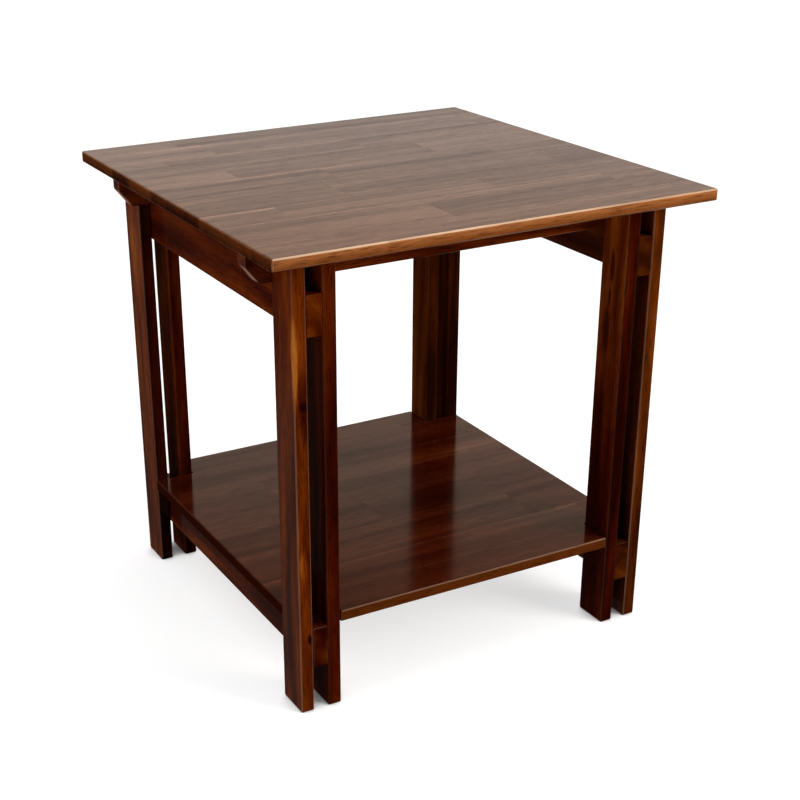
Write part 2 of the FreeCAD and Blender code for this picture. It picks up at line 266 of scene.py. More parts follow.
def add_tone_and_painted_light(tree, tone, height, normal, shade):
    """A lift of the whole board, a fade with its height that is partly painted shade, and a change on its
    front face: painted light where above 0, painted shade where below.
    """
    lift, fade, front_painted_light = shade
    # The fade with height is partly painted shade: the board grows darker towards the floor
    lift_and_painted_height_light = add_math(tree, "MULTIPLY_ADD", height, fade, lift - MIDDLE_HEIGHT * fade)
    # Front faces are painted lighter where light falls on them and darker where they stand in shade
    facing = add_dot(tree, normal, TO_THE_FRONT)
    tone = add_math(tree, "ADD", tone, lift_and_painted_height_light)
    return add_math(tree, "ADD", tone, add_range(tree, facing, *FRONT_SPAN, 0.0, front_painted_light))


def add_knots_and_painted_light(tree, tone, streaks, place, grain, knots_and_painted_light):
    """Knots and pale streaks, with a painted highlight and painted shade among them: (centre, radius, half
    length along the grain, change of tone).
    """
    for centre, radius, length, change in knots_and_painted_light:
        size = tuple(1.0 / (length if part else radius) for part in GRAIN_AXES[grain])
        away = add_vector_math(tree, "SUBTRACT", place, centre)
        away = add_vector_math(tree, "LENGTH", add_vector_math(tree, "MULTIPLY", away, size))
        ragged = add_math(tree, "SUBTRACT", streaks, 0.5)
        away = add_math(tree, "MULTIPLY_ADD", ragged, KNOT_AND_PAINTED_LIGHT_RAGGEDNESS, away)
        tone = add_math(tree, "MULTIPLY", tone, add_range(tree, away, *KNOT_AND_PAINTED_LIGHT_SPAN, change))
    return tone


def add_painted_highlight_rounds(tree, normal, grain):
    """Where a highlight is painted: 1 on rounds along the grain that don't look down, 0 on the faces and on
    the ends.
    """
    along = add_math(tree, "ABSOLUTE", add_dot(tree, normal, GRAIN_AXES[grain]))
    return add_product(
        tree,
        add_range(tree, add_largest(tree, add_split(tree, normal)), *ROUND_SPAN),
        add_range(tree, along, *LONG_SIDE_SPAN),
        add_range(tree, add_dot(tree, normal, UP), *NOT_DOWN_SPAN))


print("marks on the wood ready")

# %% Stains
PORE_STAIN = (0.42, 0.36, 0.34, 1.0)
# Colour of the painted highlight on the rounds
PAINTED_HIGHLIGHT_COLOUR = (0.64, 0.44, 0.29, 1.0)
FRAME_STAIN = (
    (0.00, (0.014, 0.0012, 0.0004)),
    (0.30, (0.047, 0.0046, 0.0007)),
    (0.50, (0.090, 0.0140, 0.0008)),
    (0.70, (0.160, 0.0310, 0.0016)),
    (1.00, (0.360, 0.1150, 0.0120)),
)
BROWN_STAIN = (
    (0.00, (0.012, 0.0022, 0.0006)),
    (0.30, (0.044, 0.0078, 0.0012)),
    (0.50, (0.086, 0.0185, 0.0016)),
    (0.70, (0.155, 0.0350, 0.0028)),
    (1.00, (0.360, 0.1150, 0.0120)),
)
EDGE_STAIN = (
    (0.00, (0.030, 0.0045, 0.0004)),
    (0.50, (0.140, 0.0380, 0.0060)),
    (1.00, (0.420, 0.1650, 0.0550)),
)
TOP_STAIN = (
    (0.00, (0.022, 0.0060, 0.0020)),
    (0.40, (0.066, 0.0210, 0.0070)),
    (0.70, (0.135, 0.0500, 0.0180)),
    (1.00, (0.340, 0.1550, 0.1000)),
)
SHELF_STAIN = (
    (0.00, (0.012, 0.0008, 0.0002)),
    (0.40, (0.036, 0.0036, 0.0006)),
    (0.75, (0.072, 0.0110, 0.0020)),
    (1.00, (0.170, 0.0480, 0.0140)),
)
print("steps in the stain of the frame:", len(FRAME_STAIN))

# %% Staves in the stain
SAP_EDGE = 0.25
SAP_SPAN = (1.00, 1.09)
SAP_LIFT = 0.19
END_TONES = (-0.75, -0.35)
EDGE_GRAIN_SHARE = 0.35
EDGE_SPAN = (0.75, 0.35)


def add_attribute(tree, name):
    return add_node(tree, "ShaderNodeAttribute", attribute_name=name).outputs


def add_staves(tree, tone, own, streaks, contrast):
    """Each stave has a tone of its own, and some keep a pale strip of sapwood along one side."""
    tone = add_sum(tree, ((tone, 1.0 - contrast), (own, contrast)))
    across = add_attribute(tree, "stave_across")["Fac"]
    side = add_math(tree, "MULTIPLY_ADD", streaks, SAP_EDGE, across)
    strip = add_product(tree, add_range(tree, side, *SAP_SPAN), add_attribute(tree, "stave_sap")["Fac"])
    return add_math(tree, "MULTIPLY_ADD", strip, SAP_LIFT, tone)


def add_panel_colour(tree, stain, panel, tone, own, height, upright, end_grain):
    """The stain of the faces, and a warmer one on the edges, where end grain goes dark and painted light
    rises with height.
    """
    end_tone = add_math(tree, "MULTIPLY", end_grain, add_range(tree, own, 0.0, 1.0, *END_TONES))
    # Painted light: the edges grow lighter from their lower to their upper round
    lift_and_painted_height_light = add_range(tree, height, *panel["edge_heights_of_painted_light"], *panel["edge_tones_with_painted_light"])
    edge_tone = add_sum(tree, ((lift_and_painted_height_light, 1.0), (tone, EDGE_GRAIN_SHARE), (end_tone, 1.0)))
    return add_mix(tree, "MIX", add_range(tree, upright, *EDGE_SPAN), add_ramp(tree, tone, stain),
                   add_ramp(tree, edge_tone, EDGE_STAIN))


def add_panel_gloss(tree, gloss, edge_gloss, tone, pores, upright, end_grain):
    """Lacquer shines less on dark staves, over pores, on the edges and on end grain."""
    return add_product(
        tree, gloss,
        add_range(tree, tone, 0.25, 0.75, 0.80, 1.08),
        add_range(tree, pores, 0.0, 1.0, 0.78, 1.0),
        add_range(tree, upright, 0.97, 0.75, 1.0, edge_gloss),
        add_range(tree, end_grain, 0.0, 1.0, 1.0, 0.2))


print("stave colours ready")

# %% Stained wood
SEED_STEPS = (12.9, 78.2, 37.7)
SEED_REACH = 3.0
END_GRAIN_SPAN = (0.75, 0.95)
END_GRAIN_STAIN = 0.45
# Streaks over which the painted highlight grows from half to full strength
PAINTED_HIGHLIGHT_SPAN = (0.35, 0.60)
LACQUER_HEIGHTS = (0.36, 0.52)
PORE_ROUGHNESS = (0.42, 0.30)


def new_finish(name):
    material = bpy.data.materials.new(name)
    material.use_nodes = True
    return material, material.node_tree


def set_shader(tree, values):
    for name, value in values.items():
        fill(tree, tree.nodes["Principled BSDF"].inputs[name], value)


def wood_finish(name, grain, stain, seed, shade=(0.0, 0.0, 0.0), knots_and_painted_light=(), lacquer=(0.5, 0.5),
                figure=FRAME_FIGURE, painted_highlight=0.0, panel=None):
    material, tree = new_finish(name)
    coordinate = add_node(tree, "ShaderNodeTexCoord").outputs
    normal = coordinate["Normal"]
    offset = Vector([math.sin(seed * step) for step in SEED_STEPS]) * SEED_REACH
    place = add_vector_math(tree, "ADD", coordinate["Object"], tuple(offset))
    if panel:
        place = add_vector_math(tree, "ADD", place, add_attribute(tree, "stave_shift")["Vector"])
    tone, streaks, pores = add_grain(tree, place, grain, figure)
    height = add_dot(tree, coordinate["Object"], UP)
    tone = add_tone_and_painted_light(tree, tone, height, normal, shade)
    tone = add_knots_and_painted_light(tree, tone, streaks, coordinate["Object"], grain, knots_and_painted_light)
    along = add_math(tree, "ABSOLUTE", add_dot(tree, normal, GRAIN_AXES[grain]))
    end_grain = add_range(tree, along, *END_GRAIN_SPAN)

    gloss, high_gloss = lacquer
    if gloss != high_gloss:
        gloss = add_range(tree, height, *LACQUER_HEIGHTS, *lacquer)
    if panel:
        own = add_attribute(tree, "stave_tone")["Fac"]
        tone = add_staves(tree, tone, own, streaks, panel["contrast"])
        upright = add_math(tree, "ABSOLUTE", add_dot(tree, normal, UP))
        colour = add_panel_colour(tree, stain, panel, tone, own, height, upright, end_grain)
        gloss = add_panel_gloss(tree, gloss, panel["edge_gloss"], tone, pores, upright, end_grain)
    else:
        colour = add_ramp(tree, tone, stain)

    dark = add_mix(tree, "MULTIPLY", 1.0, colour, PORE_STAIN)
    colour = add_mix(tree, "MIX", pores, dark, colour)
    colour = add_mix(tree, "MIX", add_math(tree, "MULTIPLY", end_grain, END_GRAIN_STAIN), colour, dark)
    # Painted highlight: a pale colour on the upper rounds along the grain, stronger on light streaks
    if painted_highlight:
        painted_highlight_strength = add_range(tree, streaks, *PAINTED_HIGHLIGHT_SPAN, 0.5 * painted_highlight, painted_highlight)
        painted_highlight_mask = add_math(tree, "MULTIPLY", add_painted_highlight_rounds(tree, normal, grain), painted_highlight_strength)
        colour = add_mix(tree, "MIX", painted_highlight_mask, colour, PAINTED_HIGHLIGHT_COLOUR)
    fibres = add_noise(tree, place, stretch(grain, *FIBRE_SCALE), detail=2.0)
    bump = add_node(tree, "ShaderNodeBump", {
        "Height": add_sum(tree, ((pores, 0.7), (fibres, 0.3))), "Strength": 0.10, "Distance": 0.0004})
    set_shader(tree, {
        "Base Color": colour, "Roughness": add_range(tree, pores, 0.0, 1.0, *PORE_ROUGHNESS),
        "Normal": bump.outputs["Normal"], "IOR": 1.45, "Specular IOR Level": 0.0,
        "Coat Weight": gloss, "Coat Roughness": 0.12, "Coat IOR": 1.5})
    return material


print("wood finish ready")

# %% [markdown]
# ## The frame
# Legs, aprons, rails and bearers keep their CAD solids, because those already have the eased edges of
# the real boards. One material could serve them all, but then every board would look cut from the same
# plank. So each gets its own, with its own place in the grain. The grain runs up the legs, from front
# to back in the aprons and rails, and from side to side in the bearers. Boards differ in stain, tone
# and gloss. Front faces are painted lighter where light falls on them and darker where they stand in
# shade, and most boards grow darker towards the floor, which is partly painted shade. Two legs have a
# painted highlight on their rounds. Two show the knots, the dark heartwood and the pale streaks that
# the photograph has at those places; among these, one pale streak is a painted highlight and one dark
# patch is painted shade.

# %% Tone, painted light and gloss of the boards
# Lift of the tone; its fade with height, partly painted shade; and its change on the front face,
# painted light where above 0 and painted shade where below
BOARD_TONE_AND_PAINTED_LIGHT = {
    "front_left_leg_outer": (-0.02, 0.18, 0.07), "front_left_leg_inner": (0.02, 0.3, -0.03),
    "front_right_leg_outer": (-0.13, 0.45, 0.02), "front_right_leg_inner": (0.125, 0.65, -0.57),
    "back_left_leg_outer": (0.03, 0.1, -0.45), "back_left_leg_inner": (-0.02, 0.1, -0.40),
    "back_right_leg_outer": (-0.06, 0.1, -0.54), "back_right_leg_inner": (0.10, 0.1, -0.45),
    "left_apron": (-0.12, 0.0, 0.14), "right_apron": (-0.08, 0.0, -0.08),
    "rail": (-0.10, 0.0, -0.12), "bearer": (0.05, 0.0, 0.0)}
# Gloss of the lacquer low on the board and high on it
USUAL_LACQUER = (0.2, 0.2)
BOARD_LACQUER = {
    "front_left_leg_outer": (0.9, 0.3), "front_right_leg_outer": (0.7, 0.6),
    "back_left_leg_outer": (0.6, 0.7), "back_left_leg_inner": (0.08, 0.08),
    "back_right_leg": (0.08, 0.08), "left_rail": (0.5, 0.5), "bearer": (0.6, 0.6)}
BOARD_STAIN = {"front_right_leg_inner": FRAME_STAIN, "right": BROWN_STAIN}
# Painted highlight on the rounds of two legs
BOARD_PAINTED_HIGHLIGHT = {"front_left_leg_outer": 0.06, "front_right_leg_outer": 0.08}
# Knots, heartwood and pale streaks, among them a painted highlight and painted shade
BOARD_KNOTS_AND_PAINTED_LIGHT = {
    "front_left_leg_outer": (
        ((-0.2490, -0.258, 0.545), 0.0170, 0.065, 0.84),
        # Painted highlight: a narrow pale streak along the left round, at mid height
        ((-0.2570, -0.258, 0.455), 0.0052, 0.058, 1.60),
        ((-0.2490, -0.258, 0.315), 0.0130, 0.085, 1.22),
        ((-0.2430, -0.258, 0.412), 0.0110, 0.052, 0.60),
        ((-0.2455, -0.258, 0.409), 0.0072, 0.009, 0.0),
        ((-0.2500, -0.258, 0.205), 0.0060, 0.026, 1.35),
        ((-0.2470, -0.258, 0.200), 0.0130, 0.130, 1.15),
        ((-0.2445, -0.258, 0.103), 0.0032, 0.008, 0.1),
    ),
    "front_right_leg_inner": (
        ((0.202, -0.2305, 0.500), 0.0050, 0.024, 0.5),
        ((0.202, -0.2287, 0.459), 0.0030, 0.014, 0.5),
        ((0.202, -0.2255, 0.415), 0.0070, 0.036, 0.5),
        # Painted shade: the lower part of the left face goes dark
        ((0.202, -0.2150, 0.120), 0.0480, 0.200, 0.2),
    ),
}
print("boards with a shade of their own:", len(BOARD_TONE_AND_PAINTED_LIGHT))

# %% Boards of the frame
BOARD_GRAIN = {"board": "Z", "apron": "Y", "rail": "Y", "bearer": "X"}


def pick(table, board, usual=None):
    """The first entry whose words are in the board's name."""
    return next((entry for words, entry in table.items() if words in board), usual)


def dress(node, material):
    slots = nodes[node].data.materials
    slots.clear()
    slots.append(material)


boards = sorted(node for node in nodes if node.split("_")[-1] in BOARD_GRAIN)
for number, board in enumerate(boards):
    dress(board, wood_finish(
        f"stain_{board}", BOARD_GRAIN[board.split("_")[-1]], pick(BOARD_STAIN, board, FRAME_STAIN),
        number + 1, pick(BOARD_TONE_AND_PAINTED_LIGHT, board), pick(BOARD_KNOTS_AND_PAINTED_LIGHT, board, ()),
        pick(BOARD_LACQUER, board, USUAL_LACQUER), painted_highlight=pick(BOARD_PAINTED_HIGHLIGHT, board, 0.0)))
print("boards dressed:", len(boards))

# %% [markdown]
# ## The butcher block panels
# A panel is glued up in rows of staves. The joints between the staves of a row fall at irregular places,
# every stave has its own tone, and some have a pale strip of sapwood. Each stave could be modelled by
# hand, but the layout is a rule, so Geometry Nodes follow it: one point for each stave, a small cube on
# each point, and then a step that moves every corner of the cube to where the stave ends. The same step
# rounds the corners that lie on the outline of the panel, and sinks the glue lines by a hair, which is
# what makes them show on the real panel.

# %% Helpers for Geometry Nodes
def new_rule(name, inputs):
    """An empty tree whose inputs are given as {kind of socket: names}."""
    tree = bpy.data.node_groups.new(name, "GeometryNodeTree")
    for kind, labels in inputs.items():
        for label in labels:
            tree.interface.new_socket(name=label, in_out="INPUT", socket_type=f"NodeSocket{kind}")
    tree.interface.new_socket(name="Geometry", in_out="OUTPUT", socket_type="NodeSocketGeometry")
    return tree, add_node(tree, "NodeGroupInput").outputs


def end_rule(tree, given, geometry):
    """The export drops instances, so they become real geometry, and all of it gets its finish."""
    geometry = add_node(tree, "GeometryNodeRealizeInstances", {"Geometry": geometry}).outputs[0]
    geometry = add_node(tree, "GeometryNodeSetMaterial", {
        "Geometry": geometry, "Material": given["Finish"]}).outputs[0]
    add_node(tree, "NodeGroupOutput", {"Geometry": geometry})


def add_choice(tree, condition, if_true, if_false):
    """The two numbers of a Mix node are its sockets 2 and 3."""
    made = add_node(tree, "ShaderNodeMix", {0: condition, 2: if_false, 3: if_true}, data_type="FLOAT")
    return made.outputs[0]


def add_clamp(tree, value, limit):
    value = add_math(tree, "MAXIMUM", value, add_math(tree, "MULTIPLY", limit, -1.0))
    return add_math(tree, "MINIMUM", value, limit)


def add_vector(tree, x, y, z):
    return add_node(tree, "ShaderNodeCombineXYZ", {"X": x, "Y": y, "Z": z}).outputs["Vector"]


def add_place(tree):
    return add_node(tree, "GeometryNodeInputPosition").outputs[0]


def keep_value(tree, geometry, name, value):
    kind = "FLOAT_VECTOR" if value.type == "VECTOR" else "FLOAT"
    made = add_node(tree, "GeometryNodeStoreNamedAttribute", {
        "Geometry": geometry, "Name": name, "Value": value}, data_type=kind, domain="POINT")
    return made.outputs["Geometry"]


def kept_value(tree, name, kind="FLOAT"):
    made = add_node(tree, "GeometryNodeInputNamedAttribute", {"Name": name}, data_type=kind)
    return made.outputs["Attribute"]


print("helpers for rules ready")

# %% Rows and joints of a panel
PANEL_INPUTS = {
    "Float": ("Length", "Depth", "Thickness", "Base", "Edge round", "Edge row", "Notch", "Stave length",
              "Glue line"),
    "Int": ("Rows", "Staves in a row", "Seed"),
    "Material": ("Finish",),
}
# Each random draw adds its own number to the seed
DRAWS = {"row start": 1, "joint": 2, "tone": 3, "shift x": 4, "shift y": 5, "shift z": 6, "row edge": 7,
         "sapwood": 8}
UNEVEN_ROW = 0.24
UNEVEN_JOINT = 0.28
ROW_START = (0.15, 0.85)
JOINT_NUMBERS = 37.0


def add_draw(tree, given, draw, identity, low=0.0, high=1.0):
    """A random number for each identity. Sockets 2, 3, 7 and 8 are low, high, identity and seed."""
    seed = add_math(tree, "ADD", given["Seed"], DRAWS[draw])
    made = add_node(tree, "FunctionNodeRandomValue", {2: low, 3: high, 7: identity, 8: seed},
                    data_type="FLOAT")
    return made.outputs[1]


def add_row(tree, given, row):
    """Low and high edge of a row across the panel, and half of the row's length."""
    calc = partial(add_math, tree)
    last_row = calc("SUBTRACT", given["Rows"], 1.0)
    first = calc("LESS_THAN", row, 0.5)
    last = calc("GREATER_THAN", row, calc("SUBTRACT", last_row, 0.5))
    half_depth = calc("MULTIPLY", given["Depth"], 0.5)
    inner_depth = calc("SUBTRACT", given["Depth"], calc("MULTIPLY", given["Edge row"], 2.0))
    row_depth = calc("DIVIDE", inner_depth, calc("SUBTRACT", given["Rows"], 2.0))
    start = calc("SUBTRACT", given["Edge row"], half_depth)

    def edge(number):
        inside = calc("MULTIPLY", calc("GREATER_THAN", number, 0.5),
                      calc("LESS_THAN", number, calc("SUBTRACT", last_row, 1.5)))
        uneven = add_draw(tree, given, "row edge", number, -UNEVEN_ROW, UNEVEN_ROW)
        number = calc("ADD", number, calc("MULTIPLY", uneven, inside))
        return calc("MULTIPLY_ADD", number, row_depth, start)

    high = add_choice(tree, last, half_depth, edge(row))
    low = add_choice(tree, first, calc("MULTIPLY", half_depth, -1.0), edge(calc("SUBTRACT", row, 1.0)))
    notch = calc("MULTIPLY", calc("MAXIMUM", first, last), given["Notch"])
    return low, high, calc("SUBTRACT", calc("MULTIPLY", given["Length"], 0.5), notch)


def add_joint(tree, given, row, number, row_half):
    """Where a joint falls along its row."""
    calc = partial(add_math, tree)
    identity = calc("MULTIPLY_ADD", row, JOINT_NUMBERS, number)
    uneven = add_draw(tree, given, "joint", identity, -UNEVEN_JOINT, UNEVEN_JOINT)
    row_start = add_draw(tree, given, "row start", row, *ROW_START)
    steps = calc("SUBTRACT", calc("ADD", number, uneven), row_start)
    half_length = calc("MULTIPLY", given["Length"], 0.5)
    at = calc("SUBTRACT", calc("MULTIPLY", steps, given["Stave length"]), half_length)
    return add_clamp(tree, at, row_half)


print("rows and joints ready")

# %% Plan of the staves
PALE_ROW = 1.0
SAP_CHANCE = 0.15
GRAIN_SHIFT = 9.0
SHORTEST_STAVE = 0.001
CUBE_LOOPS = 10


def plan_staves(tree, given):
    """A point for each stave, which keeps its corners, its tone, its sapwood and its place in the grain."""
    calc = partial(add_math, tree)
    in_row = given["Staves in a row"]
    points = add_node(tree, "GeometryNodePoints", {"Count": calc("MULTIPLY", given["Rows"], in_row)})
    points = points.outputs[0]
    index = add_node(tree, "GeometryNodeInputIndex").outputs[0]
    row = calc("FLOOR", calc("DIVIDE", index, in_row))
    turn = calc("SUBTRACT", index, calc("MULTIPLY", row, in_row))
    low_y, high_y, row_half = add_row(tree, given, row)
    low_x = add_joint(tree, given, row, turn, row_half)
    high_x = add_joint(tree, given, row, calc("ADD", turn, 1.0), row_half)
    chosen = calc("GREATER_THAN", add_draw(tree, given, "sapwood", index), 1.0 - SAP_CHANCE)
    shift = [add_draw(tree, given, f"shift {axis}", index, -GRAIN_SHIFT, GRAIN_SHIFT) for axis in "xyz"]
    for name, value in (
        ("low", add_vector(tree, low_x, low_y, 0.0)),
        ("high", add_vector(tree, high_x, high_y, given["Thickness"])),
        ("row_half", row_half),
        ("stave_tone", add_draw(tree, given, "tone", index)),
        ("stave_sap", calc("MAXIMUM", calc("COMPARE", row, PALE_ROW, 0.5), chosen)),
        ("stave_shift", add_vector(tree, *shift)),
    ):
        points = keep_value(tree, points, name, value)
    gone = calc("LESS_THAN", calc("SUBTRACT", high_x, low_x), SHORTEST_STAVE)
    return add_node(tree, "GeometryNodeDeleteGeometry", {"Geometry": points, "Selection": gone},
                    domain="POINT").outputs[0]


def put_cubes(tree, points):
    """A cube for each stave. Its corners remember where they are as shares of its size."""
    cube = add_node(tree, "GeometryNodeMeshCube", {
        "Size": (1.0, 1.0, 1.0), "Vertices X": CUBE_LOOPS, "Vertices Y": CUBE_LOOPS,
        "Vertices Z": CUBE_LOOPS}).outputs["Mesh"]
    cube = keep_value(tree, cube, "share", add_place(tree))
    staves = add_node(tree, "GeometryNodeInstanceOnPoints", {"Points": points, "Instance": cube}).outputs[0]
    return add_node(tree, "GeometryNodeRealizeInstances", {"Geometry": staves}).outputs[0]


print("plan of the staves ready")

# %% Shape of the staves
SIDE_LOOPS = CUBE_LOOPS // 2
SAME_PLACE = 0.0001
GLUE_SINK = -0.3
FLAT = 0.9999


def place_corners(tree, given, share, low, high, limits):
    """Corners go out to the ends of the stave, closer together near the outline and the glue lines."""
    calc = partial(add_math, tree)
    placed, at_glue = [], []
    for axis, limit in enumerate(limits):
        upper = calc("GREATER_THAN", share[axis], 0.0)
        inset = calc("SUBTRACT", 0.5, calc("ABSOLUTE", share[axis]))
        loop = calc("ROUND", calc("MULTIPLY", inset, CUBE_LOOPS - 1.0))
        angle = calc("SUBTRACT", 1.0, calc("DIVIDE", loop, SIDE_LOOPS - 1.0))
        inward = calc("SUBTRACT", 1.0, calc("TANGENT", calc("MULTIPLY", angle, math.pi / 4)))
        inward = calc("MULTIPLY", inward, given["Edge round"])
        end = add_choice(tree, upper, high[axis], low[axis])
        if limit is not None:
            on_edge = calc("GREATER_THAN", calc("ABSOLUTE", end), calc("SUBTRACT", limit, SAME_PLACE))
            inward = add_choice(tree, on_edge, inward, calc("MULTIPLY", loop, given["Glue line"]))
            at_glue.append(calc("MULTIPLY", calc("LESS_THAN", loop, 0.5), calc("SUBTRACT", 1.0, on_edge)))
        sign = calc("SUBTRACT", calc("MULTIPLY", upper, 2.0), 1.0)
        placed.append(calc("SUBTRACT", end, calc("MULTIPLY", inward, sign)))
    return placed, calc("MAXIMUM", *at_glue)


def round_outline(tree, given, corner, limits):
    """A corner in the outline's round moves in along the radius. The others stay."""
    kept, outside = [], []
    for value, limit in zip(corner, limits):
        core = add_clamp(tree, value, add_math(tree, "SUBTRACT", limit, given["Edge round"]))
        kept.append(core)
        outside.append(add_math(tree, "SUBTRACT", value, core))
    direction = add_vector_math(tree, "NORMALIZE", add_vector(tree, *outside))
    reach = add_node(tree, "ShaderNodeVectorMath", {0: direction, "Scale": add_largest(tree, outside)},
                     operation="SCALE").outputs[0]
    return add_vector_math(tree, "ADD", add_vector(tree, *kept), reach)


def smooth_rounds(tree, staves):
    """Flat faces stay flat, and the rounds are smooth."""
    normal = add_node(tree, "GeometryNodeInputNormal").outputs[0]
    curved = add_math(tree, "LESS_THAN", add_largest(tree, add_split(tree, normal)), FLAT)
    return add_node(tree, "GeometryNodeSetShadeSmooth", {"Geometry": staves, "Shade Smooth": curved},
                    domain="FACE").outputs[0]


print("shape of the staves ready")

# %% Rule for a butcher block panel
FACE_SHARE = 0.49


def panel_tree():
    tree, given = new_rule("butcher_block", PANEL_INPUTS)
    calc = partial(add_math, tree)
    staves = put_cubes(tree, plan_staves(tree, given))
    share, low, high = (add_split(tree, kept_value(tree, name, "FLOAT_VECTOR"))
                        for name in ("share", "low", "high"))
    row_half = kept_value(tree, "row_half")
    half_depth = calc("MULTIPLY", given["Depth"], 0.5)
    half_thickness = calc("MULTIPLY", given["Thickness"], 0.5)
    (x, y, z), at_glue = place_corners(tree, given, share, low, high, (row_half, half_depth, None))
    across = calc("DIVIDE", calc("SUBTRACT", y, low[1]), calc("SUBTRACT", high[1], low[1]))
    staves = keep_value(tree, staves, "stave_across", across)
    corner = round_outline(tree, given, (x, y, calc("SUBTRACT", z, half_thickness)),
                           (row_half, half_depth, half_thickness))

    # Glue lines sink by a hair on both faces
    on_face = calc("GREATER_THAN", calc("ABSOLUTE", share[2]), FACE_SHARE)
    face_side = calc("MULTIPLY", on_face, calc("SIGN", share[2]))
    drop = add_product(tree, at_glue, face_side, given["Glue line"])
    lift = calc("ADD", calc("ADD", half_thickness, given["Base"]), calc("MULTIPLY", drop, GLUE_SINK))
    corner = add_vector_math(tree, "ADD", corner, add_vector(tree, 0.0, 0.0, lift))
    staves = add_node(tree, "GeometryNodeSetPosition", {"Geometry": staves, "Position": corner}).outputs[0]
    end_rule(tree, given, smooth_rounds(tree, staves))
    return tree


butcher_block = panel_tree()
print("butcher block rule:", len(butcher_block.nodes), "nodes")

# %% Top and shelf from the rule
GLUE_LINE = 0.0001
SPARE_STAVES = 2


def bake_tree(name, tree, sizes, start=None):
    """The tree's result as a plain mesh. The tree starts from a given mesh, or from none."""
    holder = put_in_scene(f"{name}_rule", start or bpy.data.meshes.new(f"{name}_rule"))
    modifier = holder.modifiers.new("rule", "NODES")
    modifier.node_group = tree
    for item in tree.interface.items_tree:
        if item.in_out == "INPUT" and item.name in sizes:
            modifier[item.identifier] = sizes[item.name]
    graph = bpy.context.evaluated_depsgraph_get()
    mesh = bpy.data.meshes.new_from_object(holder.evaluated_get(graph))
    bpy.data.objects.remove(holder)
    return put_in_scene(name, mesh)


def make_panel(node, layout, finish):
    low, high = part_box(node)
    size = high - low
    piece = bake_tree(f"{node}_staves", butcher_block, {
        **layout, "Length": size.x, "Depth": size.y, "Thickness": size.z, "Base": low.z,
        "Staves in a row": math.ceil(size.x / layout["Stave length"]) + SPARE_STAVES,
        "Glue line": GLUE_LINE, "Finish": finish})
    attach(piece, "root")
    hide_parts(node)
    print(piece.name, "triangles:", sum(len(face.vertices) - 2 for face in piece.data.polygons))


PANEL_LACQUER = (0.95, 0.95)
SHELF_CLEARANCE = 0.0005
shelf_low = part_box("shelf")[0]
leg_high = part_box("front_left_leg_inner_board")[1]
# Each panel's edges grow lighter with height as painted light, and its upper rounds get a painted highlight
make_panel(
    "table_top",
    {"Rows": 9, "Edge row": 0.050, "Notch": 0.0, "Edge round": 0.0025, "Stave length": 0.34, "Seed": 7},
    wood_finish("stain_top", "X", TOP_STAIN, 31, lacquer=PANEL_LACQUER, figure=PANEL_FIGURE, painted_highlight=0.88,
                panel={"contrast": 0.18, "edge_heights_of_painted_light": (0.587, 0.598), "edge_tones_with_painted_light": (0.37, 0.71),
                       "edge_gloss": 1.0}))
make_panel(
    "shelf",
    {"Rows": 8, "Edge row": leg_high.y - shelf_low.y + SHELF_CLEARANCE,
     "Notch": leg_high.x - shelf_low.x + SHELF_CLEARANCE, "Edge round": 0.002, "Stave length": 0.32,
     "Seed": 11},
    wood_finish("stain_shelf", "X", SHELF_STAIN, 47, lacquer=PANEL_LACQUER, figure=PANEL_FIGURE, painted_highlight=0.16,
                panel={"contrast": 0.16, "edge_heights_of_painted_light": (0.116, 0.131), "edge_tones_with_painted_light": (0.02, 0.06),
                       "edge_gloss": 0.3}))

# %% [markdown]
# ## Dowels, and the steel of the screws
# They hold the table together and are nearly all hidden. The dowels are bare beech, so the wood finish
# above serves them with a pale stain. The screws are zinc plated steel: metal with a fine mottle that
# changes its colour and its gloss a little.

# %% Finishes of the fasteners
BEECH = (
    (0.00, (0.30, 0.170, 0.080)),
    (0.50, (0.44, 0.270, 0.140)),
    (1.00, (0.56, 0.370, 0.210)),
)
ZINC = ((0.3, (0.40, 0.38, 0.33)), (0.7, (0.62, 0.60, 0.55)))
ZINC_SCALE = (900.0, 900.0, 260.0)
ZINC_ROUGHNESS = (0.42, 0.28)


def steel_finish(name):
    material, tree = new_finish(name)
    place = add_node(tree, "ShaderNodeTexCoord").outputs["Object"]
    mottle = add_noise(tree, place, ZINC_SCALE, detail=3.0, roughness=0.6)
    set_shader(tree, {
        "Base Color": add_ramp(tree, mottle, ZINC), "Metallic": 1.0,
        "Roughness": add_range(tree, mottle, 0.3, 0.7, *ZINC_ROUGHNESS)})
    return material


for dowels in ("apron_dowels", "rail_dowels"):
    dress(dowels, wood_finish(f"beech_{dowels}", "X", BEECH, len(dowels)))
zinc = steel_finish("zinc_plate")
print("dowels dressed, steel ready")

# %% [markdown]
# ## Screws
# The CAD screws are plain turned shapes. A real one has a thread and a cross recess in its head. All of
# them follow one rule, so Geometry Nodes turn the screw once from its sizes and put it on a point for
# each place. The thread could be a profile swept along a helix. A cylinder whose radius swells and
# shrinks along the helix has fewer faces and no seams. The recess is cut from the head with two crossed
# bars. The places are read from the CAD solids.

# %% Shank and head of a screw
SCREW_INPUTS = {
    "Geometry": ("Places",),
    "Float": ("Shank radius", "Length", "Tip", "Pitch", "Plain share", "Head radius", "Neck radius",
              "Head start", "Head end", "Recess width", "Recess length", "Recess depth"),
    "Material": ("Finish",),
}
ROOT_IN_HEAD = 0.0005
THREAD_DEPTH = 0.6
BLUNT_TIP = 0.1


